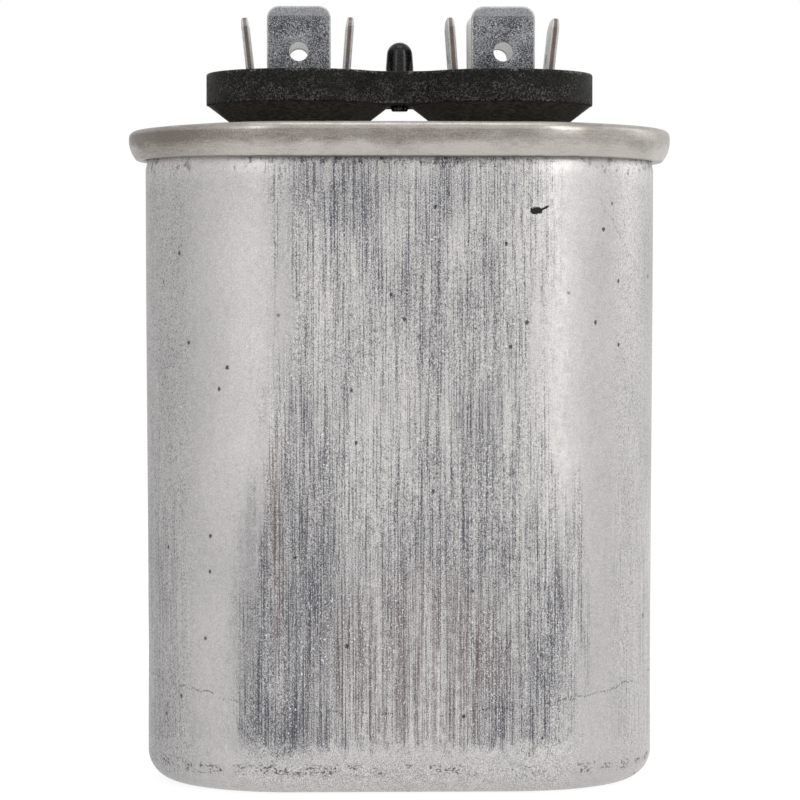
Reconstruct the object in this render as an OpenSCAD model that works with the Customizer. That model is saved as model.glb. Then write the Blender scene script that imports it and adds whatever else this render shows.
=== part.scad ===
// Oval motor run capacitor: a drawn aluminium can closed by a double-seamed lid, with a
// moulded terminal block on top that carries two clusters of quick-connect tabs, and a wound
// film roll inside. Millimetres, +Z up. The origin is at the middle of the can's bottom face,
// the long side of the oval lies along X and the flat front faces -Y.

/* [Can] */
// Length of the can's oval, outside the wall
can_length = 51; // [44:0.5:62]
// Depth of the can's oval, which is also the width of its round ends
can_depth = 29.4; // [24:0.2:36]
// Height from the can's bottom to the top of its seam
can_height = 65.6; // [50:0.5:120]
// Thickness of the can's wall and bottom
can_wall = 0.5; // [0.4:0.05:0.55]
// Outside radius of the edge round the can's bottom
can_corner = 3; // [2:0.1:4]

/* [Lid and seam] */
// Thickness of the lid's tin plate
lid_sheet = 0.4; // [0.3:0.05:0.4]
// Depth of the lid's panel below the top of the seam
lid_recess = 3.3; // [3:0.1:4.5]
// Radius of the hole in the lid that each terminal passes through
lid_hole_r = 2.6; // [2.4:0.05:3]

/* [Terminal block] */
// Distance between the centres of the two terminals
terminal_pitch = 20.4; // [19.5:0.1:24]
// Outside radius of each terminal's cup
cup_r = 9.35; // [8.6:0.05:9.6]
// Thickness of the wall round each cup
cup_wall = 1.3; // [1:0.1:2]
// Depth of each cup
cup_depth = 3.3; // [2:0.1:3.6]
// Height of the upright band round the block
band_height = 3.2; // [2.6:0.1:4]
// Rise of the block's top above the seam
block_rise = 5.6; // [5.2:0.1:9]
// Radius of the neck that stands on the lid under each cup
neck_r = 6.2; // [5:0.1:7]
// Depth of the web that joins the two cups, front to back
web_depth = 10.5; // [6:0.5:14]
// Radius of the post at the middle of the web, at its foot
post_r = 1.42; // [1.2:0.02:1.8]
// Height of the post above the block
post_rise = 3.25; // [2.5:0.05:5]

/* [Tabs] */
// Width of each quick-connect tab
tab_width = 6.35; // [4.8:0.05:6.4]
// Thickness of each tab
tab_sheet = 0.8; // [0.5:0.1:0.8]
// Height of a tab's tip above the underside of its own base
tab_height = 9; // [8:0.1:12]
// Half of the flat length between the two bends of a folded pair
tab_flat_half = 3.65; // [3.4:0.05:4]
// Outward lean of the tab that faces the can's nearer end, in degrees
outer_lean = 6.3; // [0:0.1:7]
// Outward lean of the tab that faces the other terminal, in degrees
inner_lean = 4.1; // [0:0.1:7]
// Outward lean of the front and back tabs, in degrees
face_lean = 2; // [0:0.1:7]
// Radius of the hole in each tab
tab_hole_r = 1; // [0.8:0.05:1.1]
// Distance from a tab's tip to the centre of its hole
tab_hole_drop = 4.5; // [3.5:0.1:5]

/* [Rivets and washers] */
// Radius of each rivet's shank
rivet_r = 1.6; // [1.2:0.05:1.9]
// Radius of each rivet's upper head
rivet_head_r = 2.6; // [2.2:0.1:3]
// Thickness of the sealing gasket under each neck
gasket_height = 0.8; // [0.5:0.1:1.5]
// Thickness of the insulating washer under the lid
washer_height = 0.8; // [0.5:0.1:1.2]

/* [Inside] */
// Height of the room between the lid and the interrupter plate
lug_room = 5.9; // [5.5:0.1:8]
// Thickness of the interrupter plate
plate_height = 1.5; // [1:0.1:2]
// Gap that is left for fluid between the wound roll and the can
roll_gap = 1.8; // [1.4:0.1:3]
// Thickness of the film wrapped round the roll
wrap_sheet = 0.3; // [0.2:0.1:0.5]
// Thickness of the metal sprayed on each end of the roll
spray_height = 0.6; // [0.3:0.1:1]
// Width of each flat lead
lead_width = 3; // [2:0.1:3.4]
// Thickness of each flat lead
lead_sheet = 0.3; // [0.2:0.05:0.4]
// Thickness of the insulating cup under the roll
tray_sheet = 0.8; // [0.5:0.1:1]

/* [Hidden] */
$fn = 72;
left = -1;
right = 1;
// How far a cutting shape runs past what it cuts.
over = 1;

// The oval: two half circles of end_r whose centres lie flat_half to each side of the middle.
end_r = can_depth / 2;
flat_half = (can_length - can_depth) / 2;
inner_r = end_r - can_wall;

// The double seam, seen in section. Its folds are arcs, placed outward from the can's wall.
// The outer face meets the curl on a line that falls 3 for every 4 outward.
fold_gap = 0.07;
meet_x = 0.8;
meet_z = -0.6;
seam_face_r = 3.8;
curl_r = lid_sheet + 0.2;
seam_out = fold_gap + curl_r + seam_face_r - (seam_face_r - curl_r) * meet_x;
seam_r = end_r + seam_out;
seam_outer_bend = 1.1;
seam_inner_bend = 0.9;
seam_widest = can_height - seam_outer_bend;
curl_x = seam_r - seam_face_r + (seam_face_r - curl_r) * meet_x;
curl_z = seam_widest + (seam_face_r - curl_r) * meet_z;
chuck_r = inner_r - 0.05 - lid_sheet;
cover_hook_top = can_height - 1.3;
hook_bore = (fold_gap + lid_sheet + 0.05) / 2;
hook_bend = hook_bore + can_wall;
hook_x = end_r + hook_bore;
hook_z = can_height - lid_sheet - 0.1 - hook_bend;
hook_tip = curl_z + 0.36;
compound_foot = hook_tip + 0.5;

// The lid's panel and the bend where it turns up into the wall of the recess.
panel_top = can_height - lid_recess;
panel_foot = panel_top - lid_sheet;
panel_bend = lid_sheet + 0.5;

// The terminal block. Each cup tapers to its neck on a cone of the stated slope.
terminal_x = terminal_pitch / 2;
block_top = can_height + block_rise;
band_foot = block_top - band_height;
cone_slope = 1.37;
cone_foot = band_foot - (cup_r - neck_r) / cone_slope;
neck_foot = panel_top + gasket_height;
cup_floor = block_top - cup_depth;
post_tip_r = post_r - 0.15;
post_shank_r = post_r - 0.56;
post_foot = band_foot - 0.55;

// The tabs. Side tabs lie at the bottom of each stack, and face tabs on top of them.
bend_in = 0.6;
bend_out = bend_in + tab_sheet;
tab_corner = 1.2;
tip_bevel = 14;
tip_edge = 0.45;
side_base = cup_floor;
face_base = cup_floor + tab_sheet;
stack_top = face_base + tab_sheet;

// Rivets and what they clamp under the lid.
rivet_head_height = 0.95;
rivet_foot_r = rivet_r + 0.8;
rivet_foot_height = 0.7;
gasket_r = neck_r - 0.4;
washer_r = lid_hole_r + 1.8;
washer_foot = panel_foot - washer_height;
lug_sheet = 0.4;
lug_r = rivet_foot_r + 0.6;
lug_foot = washer_foot - lug_sheet;

// The pieces below the lid, from the plate down to the can's bottom.
plate_top = panel_foot - lug_room;
plate_foot = plate_top - plate_height;
plate_r = inner_r - 0.6;
roll_r = inner_r - roll_gap;
lead_drop = 1.7;
spray_top = plate_foot - lead_drop;
roll_top = spray_top - spray_height;
tray_top = can_wall + tray_sheet;
spray_foot = tray_top + lead_sheet;
roll_foot = spray_foot + spray_height;
tray_r = inner_r - 0.1;
tray_corner = can_corner - can_wall;
tray_height = 8;
core_r = 1.5;
core_wall = 0.5;
spray_r = roll_r - 0.4;

// The leads run in planes that face Y, and meet the tongues of the lugs behind them.
tongue_width = 4;
tongue_y = 5;
tongue_foot = plate_top + 0.3;
lead_x = min(terminal_x, flat_half) - 2;
lead_y = tongue_y + lug_sheet;
lead_top = plate_top + 3;
lead_run = 6;
sleeve_wall = 0.35;
slot_gap = 0.4;

// ---- Shared shapes ----

// A quarter of a ring, used where a sheet turns through a right angle. side_x and side_z
// are 1 or -1 and pick the quarter.
module sheet_bend(outer, inner, side_x, side_z) {
    intersection() {
        difference() {
            circle(outer);
            circle(inner);
        }
        translate([side_x < 0 ? -outer : 0, side_z < 0 ? -outer : 0]) square(outer);
    }
}

// A flat oval of the given end radius and height, centred on the can's axis.
module oval_plate(radius, height) {
    linear_extrude(height) {
        for (side = [left, right]) translate([side * flat_half, 0]) circle(radius);
        square([2 * flat_half, 2 * radius], center = true);
    }
}

// An upright oval tube between two end radii.
module oval_tube(outer, inner, height) {
    difference() {
        oval_plate(outer, height);
        translate([0, 0, -over]) oval_plate(inner, height + 2 * over);
    }
}

// Carries a section round the oval. The section's x is the distance from an end's centre.
module oval_ring() {
    for (side = [left, right])
        translate([side * flat_half, 0, 0]) rotate([0, 0, -90 * side])
            rotate_extrude(angle = 180) children();
    for (turn = [0, 1])
        mirror([0, turn, 0]) rotate([90, 0, 90])
            linear_extrude(2 * flat_half, center = true) children();
}

// ---- Can, lid and seam ----

module can_section() {
    square([end_r - can_corner, can_wall]);
    translate([end_r - can_corner, can_corner])
        sheet_bend(can_corner, can_corner - can_wall, 1, -1);
    translate([inner_r, can_corner]) square([can_wall, hook_z - can_corner]);
    translate([hook_x, hook_z]) {
        sheet_bend(hook_bend, hook_bore, -1, 1);
        sheet_bend(hook_bend, hook_bore, 1, 1);
    }
    translate([hook_x + hook_bore, hook_tip]) square([can_wall, hook_z - hook_tip]);
}

// Drawn in one piece, with its top edge turned out and down inside the seam.
module can() {
    color("#b4b2ae") oval_ring() can_section();
}

module seam_face_section() {
    translate([seam_r - seam_face_r, seam_widest]) intersection() {
        difference() {
            circle(seam_face_r);
            circle(seam_face_r - lid_sheet);
        }
        polygon([[0, 0], [5 * seam_face_r, 0], [5 * seam_face_r * meet_x, 5 * seam_face_r * meet_z]]);
    }
}

module seam_curl_section() {
    translate([curl_x, curl_z]) intersection() {
        difference() {
            circle(curl_r);
            circle(curl_r - lid_sheet);
        }
        polygon([
            [0, 0], [-5 * curl_r, 0], [-5 * curl_r, -5 * curl_r], [5 * curl_r, -5 * curl_r],
            [5 * curl_r * meet_x, 5 * curl_r * meet_z]
        ]);
    }
}

module lid_section() {
    translate([0, panel_foot]) square([chuck_r + lid_sheet - panel_bend, lid_sheet]);
    translate([chuck_r + lid_sheet - panel_bend, panel_foot + panel_bend])
        sheet_bend(panel_bend, panel_bend - lid_sheet, 1, -1);
    translate([chuck_r, panel_foot + panel_bend])
        square([lid_sheet, can_height - seam_inner_bend - panel_foot - panel_bend]);
    translate([chuck_r + seam_inner_bend, can_height - seam_inner_bend])
        sheet_bend(seam_inner_bend, seam_inner_bend - lid_sheet, -1, 1);
    translate([chuck_r + seam_inner_bend, can_height - lid_sheet])
        square([seam_r - seam_outer_bend - chuck_r - seam_inner_bend, lid_sheet]);
    translate([seam_r - seam_outer_bend, seam_widest])
        sheet_bend(seam_outer_bend, seam_outer_bend - lid_sheet, 1, 1);
    seam_face_section();
    seam_curl_section();
    translate([curl_x - curl_r, curl_z]) square([lid_sheet, cover_hook_top - curl_z]);
}

// A recessed panel whose edge rolls over the can's, down its outside and up inside its hook.
module lid() {
    color("#a9a59c") difference() {
        oval_ring() lid_section();
        for (side = [left, right])
            translate([side * terminal_x, 0, panel_foot - over])
                cylinder(r = lid_hole_r, h = lid_sheet + 2 * over);
    }
}

// Fills out to the middle of the lid's sheet, less the sheet itself and the can's turned edge.
module compound_section() {
    bend_x = seam_r - seam_outer_bend;
    start_x = hook_x - hook_bend + 0.26;
    difference() {
        union() {
            translate([start_x, compound_foot])
                square([bend_x - start_x, can_height - lid_sheet / 2 - compound_foot]);
            translate([bend_x, compound_foot])
                square([seam_outer_bend - 0.75 * lid_sheet, seam_widest - compound_foot]);
            translate([bend_x, seam_widest]) circle(seam_outer_bend - lid_sheet / 2);
        }
        translate([hook_x, hook_z]) circle(hook_bend);
        translate([hook_x - hook_bend, compound_foot - over])
            square([2 * hook_bend, hook_z - compound_foot + over]);
        lid_section();
    }
}

// The sealant that fills the seam over the can's turned edge.
module seam_compound() {
    color("#6b6f6a") oval_ring() compound_section();
}

// ---- Terminal block ----

module cup_body() {
    rotate_extrude() polygon([
        [0, neck_foot], [neck_r, neck_foot], [neck_r, cone_foot],
        [cup_r, band_foot], [cup_r, block_top], [0, block_top]
    ]);
}

module terminal_block() {
    color("#2a2a29") difference() {
        union() {
            for (side = [left, right]) translate([side * terminal_x, 0, 0]) cup_body();
            translate([-terminal_x, -web_depth / 2, band_foot])
                cube([terminal_pitch, web_depth, band_height]);
        }
        for (side = [left, right]) translate([side * terminal_x, 0, 0]) {
            translate([0, 0, cup_floor]) cylinder(r = cup_r - cup_wall, h = cup_depth + over);
            translate([0, 0, neck_foot - over])
                cylinder(r = rivet_r, h = cup_floor - neck_foot + 2 * over);
        }
        translate([0, 0, band_foot - over]) cylinder(r = post_shank_r, h = band_height + 2 * over);
    }
}

module centre_post() {
    cone_height = post_rise - post_tip_r;
    color("#161616") {
        translate([0, 0, post_foot]) cylinder(r = post_shank_r, h = block_top - post_foot);
        translate([0, 0, block_top]) cylinder(r1 = post_r, r2 = post_tip_r, h = cone_height);
        translate([0, 0, block_top + cone_height]) intersection() {
            sphere(post_tip_r);
            translate([-2 * post_r, -2 * post_r, 0]) cube(4 * post_r);
        }
    }
}

// ---- Tabs ----

// The face of one tab, from the end of its bend to its tip.
module tab_outline(reach) {
    difference() {
        union() {
            translate([-tab_width / 2, 0]) square([tab_width, reach - tab_corner]);
            translate([-tab_width / 2 + tab_corner, 0]) square([tab_width - 2 * tab_corner, reach]);
            for (side = [left, right])
                translate([side * (tab_width / 2 - tab_corner), reach - tab_corner]) circle(tab_corner);
        }
        translate([0, reach - tab_hole_drop]) circle(tab_hole_r);
    }
}

// The bend between a base and its tab, about an axis along Y. It starts where the base ends
// and stops where the leaning tab starts.
module tab_bend(lean) {
    block = [4 * bend_out, 2 * tab_width, 4 * bend_out];
    difference() {
        rotate([90, 0, 0]) cylinder(r = bend_out, h = tab_width, center = true);
        rotate([90, 0, 0]) cylinder(r = bend_in, h = 2 * tab_width, center = true);
        translate([-block.x, -tab_width, -2 * bend_out]) cube(block);
        rotate([0, lean, 0]) translate([-2 * bend_out, -tab_width, 0]) cube(block);
    }
}

// One bend with its tab, leaning outward from the +X end of a base on Z = 0.
module tab(lean) {
    reach = tab_height - bend_out;
    translate([tab_flat_half, 0, bend_out]) {
        tab_bend(lean);
        rotate([0, lean, 0]) difference() {
            translate([bend_in, 0, 0]) rotate([90, 0, 90]) linear_extrude(tab_sheet) tab_outline(reach);
            for (side = [left, right])
                translate([bend_in + tab_sheet / 2 + side * tip_edge / 2, 0, reach])
                    rotate([0, -side * tip_bevel, 0])
                        translate([side < 0 ? -bend_out : 0, -tab_width, -tab_height / 2])
                            cube([bend_out, 2 * tab_width, tab_height]);
        }
    }
}

// One strip folded up at both ends, with a hole for the rivet through its base.
module tab_pair(lean_plus, lean_minus) {
    tab(lean_plus);
    mirror([1, 0, 0]) tab(lean_minus);
    difference() {
        translate([-tab_flat_half, -tab_width / 2, 0]) cube([2 * tab_flat_half, tab_width, tab_sheet]);
        translate([0, 0, -over]) cylinder(r = rivet_r, h = tab_sheet + 2 * over);
    }
}

module side_tabs(side) {
    color("#a7a49e") translate([side * terminal_x, 0, side_base])
        rotate([0, 0, side > 0 ? 0 : 180]) tab_pair(outer_lean, inner_lean);
}

module face_tabs(side) {
    color("#8d9196") translate([side * terminal_x, 0, face_base])
        rotate([0, 0, -90]) tab_pair(face_lean, face_lean);
}

// ---- Rivets, gaskets, washers and lugs ----

module rivet(side) {
    dome_r = (pow(rivet_head_r, 2) + pow(rivet_head_height, 2)) / (2 * rivet_head_height);
    color("#9a978f") translate([side * terminal_x, 0, 0]) {
        translate([0, 0, lug_foot]) cylinder(r = rivet_r, h = stack_top - lug_foot);
        translate([0, 0, lug_foot - rivet_foot_height]) cylinder(r = rivet_foot_r, h = rivet_foot_height);
        translate([0, 0, stack_top]) intersection() {
            translate([0, 0, rivet_head_height - dome_r]) sphere(dome_r);
            cylinder(r = 2 * rivet_head_r, h = 2 * rivet_head_height);
        }
    }
}

module gasket(side) {
    color("#3a3733") translate([side * terminal_x, 0, panel_top]) difference() {
        cylinder(r = gasket_r, h = gasket_height);
        translate([0, 0, -over]) cylinder(r = rivet_r, h = gasket_height + 2 * over);
    }
}

// A flanged bush, whose collar keeps the rivet off the edge of the lid's hole.
module washer(side) {
    color("#d8d2c0") translate([side * terminal_x, 0, washer_foot]) difference() {
        union() {
            cylinder(r = washer_r, h = washer_height);
            cylinder(r = lid_hole_r - 0.05, h = washer_height + lid_sheet);
        }
        translate([0, 0, -over]) cylinder(r = rivet_r, h = washer_height + lid_sheet + 2 * over);
    }
}

// An eyelet with a tongue that turns down towards the interrupter plate.
module lug(side) {
    color("#b3924e") difference() {
        union() {
            translate([side * terminal_x, 0, lug_foot]) cylinder(r = lug_r, h = lug_sheet);
            translate([side * lead_x - tongue_width / 2, 0, lug_foot])
                cube([tongue_width, tongue_y + lug_sheet, lug_sheet]);
            translate([side * lead_x - tongue_width / 2, tongue_y, tongue_foot])
                cube([tongue_width, lug_sheet, lug_foot + lug_sheet - tongue_foot]);
        }
        translate([side * terminal_x, 0, lug_foot - over]) cylinder(r = rivet_r, h = lug_sheet + 2 * over);
    }
}

// ---- Inside the can ----

module interrupter_plate() {
    slot_width = lead_width + 2 * slot_gap;
    slot_depth = lead_sheet + 2 * slot_gap;
    color("#8a5a33") translate([0, 0, plate_foot]) difference() {
        oval_plate(plate_r, plate_height);
        for (side = [left, right])
            translate([side * lead_x - slot_width / 2, lead_y - slot_gap, -over])
                cube([slot_width, slot_depth, plate_height + 2 * over]);
    }
}

module roll_wrap() {
    color("#d9cf9f") translate([0, 0, roll_foot])
        oval_tube(roll_r + wrap_sheet, roll_r, plate_foot - roll_foot);
}

// All the turns of metallised film, wound round the flat core.
module film_roll() {
    color("#c9c6bd") translate([0, 0, roll_foot]) oval_tube(roll_r, core_r, roll_top - roll_foot);
}

module roll_core() {
    color("#ece8dc") translate([0, 0, spray_foot])
        oval_tube(core_r, core_r - core_wall, spray_top - spray_foot);
}

module end_spray(foot) {
    color("#8f9296") translate([0, 0, foot]) oval_tube(spray_r, core_r, spray_height);
}

// A flat strip whose middle line follows the given points of the YZ plane, square to Y or Z.
module lead_strip(points) {
    translate([-lead_width / 2, 0, 0]) rotate([90, 0, 90]) linear_extrude(lead_width) {
        for (k = [0 : len(points) - 2]) {
            low = [min(points[k].x, points[k + 1].x), min(points[k].y, points[k + 1].y)];
            high = [max(points[k].x, points[k + 1].x), max(points[k].y, points[k + 1].y)];
            translate(low - [lead_sheet, lead_sheet] / 2) square(high - low + [lead_sheet, lead_sheet]);
        }
    }
}

module short_lead() {
    y = lead_y + lead_sheet / 2;
    foot = spray_top + lead_sheet / 2;
    color("#b87544") translate([left * lead_x, 0, 0])
        lead_strip([[y - lead_run / 2, foot], [y, foot], [y, lead_top]]);
}

// Runs from under the roll, up through its core and across to the right terminal's lug.
module long_lead() {
    y = lead_y + lead_sheet / 2;
    foot = tray_top + lead_sheet / 2;
    shelf = spray_top + lead_drop / 2;
    color("#b87544") translate([right * lead_x, 0, 0])
        lead_strip([[lead_run, foot], [0, foot], [0, shelf], [y, shelf], [y, lead_top]]);
}

module lead_sleeve() {
    width = lead_width + 2 * sleeve_wall;
    depth = lead_sheet + 2 * sleeve_wall;
    height = spray_top - roll_foot;
    color("#4d5a6b") translate([right * lead_x, 0, roll_foot]) difference() {
        translate([-width / 2, -depth / 2, 0]) cube([width, depth, height]);
        translate([-lead_width / 2, -lead_sheet / 2, -over])
            cube([lead_width, lead_sheet, height + 2 * over]);
    }
}

module tray_section() {
    translate([0, can_wall]) {
        square([tray_r - tray_corner, tray_sheet]);
        translate([tray_r - tray_corner, tray_corner])
            sheet_bend(tray_corner, tray_corner - tray_sheet, 1, -1);
        translate([tray_r - tray_sheet, tray_corner]) square([tray_sheet, tray_height - tray_corner]);
    }
}

module insulating_cup() {
    color("#e6e2d6") oval_ring() tray_section();
}

can();
lid();
seam_compound();
terminal_block();
centre_post();
side_tabs(left);  // left_side_tabs
face_tabs(left);  // left_face_tabs
rivet(left);  // left_rivet
gasket(left);  // left_gasket
washer(left);  // left_washer
lug(left);  // left_lug
side_tabs(right);  // right_side_tabs
face_tabs(right);  // right_face_tabs
rivet(right);  // right_rivet
gasket(right);  // right_gasket
washer(right);  // right_washer
lug(right);  // right_lug
interrupter_plate();
roll_wrap();
film_roll();
roll_core();
end_spray(roll_top);  // top_end_spray
end_spray(spray_foot);  // bottom_end_spray
short_lead();
long_lead();
lead_sleeve();
insulating_cup();
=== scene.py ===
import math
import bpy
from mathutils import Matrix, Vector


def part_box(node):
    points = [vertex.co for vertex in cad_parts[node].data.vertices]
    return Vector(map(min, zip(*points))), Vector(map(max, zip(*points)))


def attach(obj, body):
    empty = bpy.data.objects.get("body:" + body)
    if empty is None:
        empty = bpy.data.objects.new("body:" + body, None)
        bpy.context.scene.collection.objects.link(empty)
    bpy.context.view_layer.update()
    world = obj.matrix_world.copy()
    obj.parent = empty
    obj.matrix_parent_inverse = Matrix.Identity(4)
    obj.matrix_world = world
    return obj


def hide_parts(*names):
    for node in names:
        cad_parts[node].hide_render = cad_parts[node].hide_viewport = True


bl_info = {
    "name": "Motor Run Capacitor",
    "version": (1, 0, 0),
    "blender": (4, 5, 0),
    "location": "3D View > Sidebar > Capacitor",
    "description": "Builds the visible pieces of an oval motor run capacitor on its fixed frame",
    "category": "Add Mesh",
}

import bmesh
import bpy
from bpy.props import FloatProperty, FloatVectorProperty, PointerProperty
from mathutils import Matrix, Vector, noise

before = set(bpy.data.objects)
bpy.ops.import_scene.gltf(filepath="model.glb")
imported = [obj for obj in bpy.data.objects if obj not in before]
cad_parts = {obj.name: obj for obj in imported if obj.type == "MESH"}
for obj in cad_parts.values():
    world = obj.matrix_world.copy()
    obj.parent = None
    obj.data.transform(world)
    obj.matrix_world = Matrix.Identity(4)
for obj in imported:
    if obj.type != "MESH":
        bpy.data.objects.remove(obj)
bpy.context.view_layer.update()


def mm(value):
    return value * 0.001


seam_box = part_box("lid")[1]
block_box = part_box("terminal_block")
post_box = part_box("centre_post")
seam_radius = seam_box.y
seam_top = seam_box.z
flat_half = seam_box.x - seam_box.y
terminal_x = block_box[1].x - block_box[1].y
SIDES = {"left": -1, "right": 1}


# ---- Settings ----


def size(name, description, millimetres):
    default = mm(millimetres)
    return FloatProperty(name=name, description=description, default=default, subtype="DISTANCE", precision=5)


def angle(name, description, degrees):
    return FloatProperty(name=name, description=description, default=math.radians(degrees), subtype="ANGLE")


def colour(name, description, default):
    limits = {"min": 0, "max": 1}
    return FloatVectorProperty(name=name, description=description, default=default, subtype="COLOR", **limits)


class CanSettings(bpy.types.PropertyGroup):
    wall_radius: size("Wall Radius", "Outside radius of the oval's round ends", 14.7)
    wall: size("Wall", "Thickness of the drawn wall and bottom", 0.5)
    corner: size("Corner", "Outside radius of the edge round the bottom", 3)
    flare: size("Flare", "How much wider the wall is just below the seam, on each side", 0.2)
    dent: size("Dent Depth", "Deepest of the shallow dents in the wall", 0.06)
    bright: colour("Clean Aluminium", "Colour of the wall where it is clean", (0.64, 0.62, 0.604))
    # The dark end of the wall's tone mix: the darkest drawn streaks, and also the wall's painted shade.
    streak_and_shade: colour("Die Streaks", "Colour of the darkest drawn streaks", (0.085, 0.087, 0.102))
    rust: colour("Brown Tarnish", "Colour of the brownish tarnish low on the flats", (0.20, 0.135, 0.12))


class LidSettings(bpy.types.PropertyGroup):
    sheet: size("Sheet", "Thickness of the tin plate", 0.4)
    recess: size("Recess", "Depth of the panel below the top of the seam", 3.3)
    chuck_radius: size("Recess Radius", "Inside radius of the recess wall at the round ends", 13.75)
    hole_radius: size("Hole Radius", "Radius of the hole under each terminal", 2.6)
    seam_height: size("Seam Height", "Height of the rolled seam", 3.45)
    can_radius: size("Can Radius", "Outside radius of the can's wall inside the seam", 14.7)
    tin: colour("Tin Plate", "Colour of the plated sheet", (0.47, 0.445, 0.41))
    # The dark end of the lid's tone mix: dulled tin, and also the painted shade band on the seam's face.
    dull_and_shade: colour("Dulled Tin", "Colour of the plate where it has dulled", (0.17, 0.148, 0.128))


class BlockSettings(bpy.types.PropertyGroup):
    web_depth: size("Web Depth", "Depth of the web between the cups, front to back", 10.5)
    fillet: size("Web Fillet", "Radius where the web runs into each cup", 2.4)
    cup_wall: size("Cup Wall", "Thickness of the wall round each cup", 1.3)
    cup_depth: size("Cup Depth", "Depth of each cup", 3.3)
    band_height: size("Band Height", "Height of the upright band", 3.2)
    neck_radius: size("Neck Radius", "Radius of the neck that stands on the lid", 6.2)
    cone_foot: size("Cone Foot", "Height at which the cone meets the neck", 65.7008)
    edge: size("Top Edge", "Rounding of the block's top edges", 0.22)
    ledge: size("Ledge", "Step between the band's side and the cone", 0.14)
    black: colour("Black Moulding", "Colour of the moulded plastic", (0.0045, 0.0044, 0.0042))
    dust: colour("Dust", "Colour of the dust and scuffs on it", (0.125, 0.118, 0.105))
    # Brownish coating of the cones, made lighter than it is as painted light from below.
    film_and_painted_light: colour("Brown Film", "Colour of the brownish film on the cones", (0.115, 0.103, 0.078))


class TabSettings(bpy.types.PropertyGroup):
    width: size("Width", "Width of each push-on tab", 6.35)
    sheet: size("Sheet", "Thickness of each tab", 0.8)
    height: size("Height", "Height of a tab's tip above its base", 9)
    flat_half: size("Base Half", "Half of the flat length between the two bends", 3.65)
    bend: size("Bend Radius", "Inside radius of each bend", 0.6)
    corner: size("Tip Corner", "Radius of the corners at the tip", 1.2)
    hole_radius: size("Hole Radius", "Radius of the hole in each tab", 0.96)
    hole_drop: size("Hole Drop", "Distance from the tip to the hole's centre", 4.5)
    tip_edge: size("Tip Edge", "Thickness at the coined tip", 0.6)
    tip_bevel: angle("Tip Bevel", "Slope of the coined faces at the tip", 6)
    outer_lean: angle("Outer Lean", "Outward lean of the tab at the can's nearer end", 6.3)
    inner_lean: angle("Inner Lean", "Outward lean of the tab facing the other terminal", 4.1)
    face_lean: angle("Face Lean", "Outward lean of the front and back tabs", 2)
    hole_in_base: size("Rivet Hole", "Radius of the rivet's hole in each base", 1.6)
    edge: size("Edge Rounding", "Rounding along the sheared edges", 0.15)
    plate: colour("Plated Face", "Colour of the light grains on the tabs' faces", (0.46, 0.465, 0.475))
    dark: colour("Dark Grain", "Colour of the dark grains on the tabs' faces", (0.02, 0.021, 0.026))
    tint: colour("Blue Tint", "Colour of the bluish patches on the tabs' faces", (0.10, 0.14, 0.20))
    coin: colour("Coined Tip", "Colour of the coined zone at each tip", (0.33, 0.335, 0.345))
    bare: colour("Rubbed Edge", "Colour of the rubbed edges and the holes' walls", (0.70, 0.69, 0.665))
    stain: colour("Sheared Edge", "Colour of the brown middle of the sheared edges", (0.15, 0.108, 0.09))
    clean: colour("Clean Face", "Colour of the tabs' cleaner inner faces", (0.64, 0.635, 0.62))


class StageSettings(bpy.types.PropertyGroup):
    distance: size("Camera Distance", "Distance from the camera to the object's axis", 340)
    height: size("Camera Height", "Height of the camera above the floor", 46.75)
    aim: size("Aim Height", "Height that the camera looks at", 38.23)
    aside: size("Aim Aside", "How far to the right of the axis the camera looks", 0.04)
    orbit: angle("Orbit", "How far left of the front the camera stands", 1.7)
    lens: FloatProperty(name="Lens", description="Focal length in millimetres", default=150.7)
    fill: FloatProperty(name="Fill", description="Strength of the light from all round", default=0.65)


# ---- Section and mesh tools ----


def arc(centre, radius, start, end, steps):
    """Points along an arc, between two angles in degrees."""
    turns = [math.radians(start + (end - start) * k / steps) for k in range(steps + 1)]
    return [Vector((centre[0] + radius * math.cos(t), centre[1] + radius * math.sin(t))) for t in turns]


def line(start, end, steps):
    """Evenly spaced points from start to end."""
    return [Vector(start).lerp(Vector(end), k / steps) for k in range(steps + 1)]


def joined(*parts):
    """One run of points from several, without the points that two of them share."""
    points = []
    for point in (p for part in parts for p in part):
        if not points or (point - points[-1]).length > mm(0.001):
            points.append(point)
    return points


def above(base, *pairs):
    """Points of a profile, from radii and heights over a base in millimetres."""
    return [Vector((mm(radius), base + mm(height))) for radius, height in pairs]


def sheet_faces(middle, thickness):
    """The two faces of a sheet whose middle follows the given points."""
    sides = ([], [])
    for k, point in enumerate(middle):
        along = middle[min(k + 1, len(middle) - 1)] - middle[max(k - 1, 0)]
        across = Vector((-along.y, along.x)).normalized() * thickness / 2
        sides[0].append(point + across)
        sides[1].append(point - across)
    return sides


def oval_stations(round_steps, flat_steps):
    """Where the oval's rings have their points: a foot on the long axis and the way out from it."""
    stations = []
    for side in (1, -1):
        for k in range(round_steps):
            turn = math.pi * (k / round_steps - 0.5)
            stations.append((side * flat_half, Vector((side * math.cos(turn), side * math.sin(turn), 0))))
        for k in range(flat_steps):
            stations.append((side * flat_half * (1 - 2 * k / flat_steps), Vector((0, side, 0))))
    return stations


def oval_ring(bm, stations, radius, height, shift=None):
    """One ring of points round the oval. A shift moves each point in along its own direction."""
    ring = []
    for foot, out in stations:
        point = Vector((foot, 0, height)) + out * radius
        if shift:
            point -= out * shift(point)
        ring.append(bm.verts.new(point))
    return ring


def round_ring(bm, centre, radius, height, steps):
    turns = [2 * math.pi * k / steps for k in range(steps)]
    x, y = centre
    return [bm.verts.new((x + radius * math.cos(t), y + radius * math.sin(t), height)) for t in turns]


def bridge(bm, first, second):
    """Faces between two rings with the same number of points."""
    for k, corner in enumerate(first):
        after = (k + 1) % len(first)
        bm.faces.new((corner, first[after], second[after], second[k]))


def bridge_all(bm, rings):
    for first, second in zip(rings, rings[1:]):
        bridge(bm, first, second)


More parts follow.
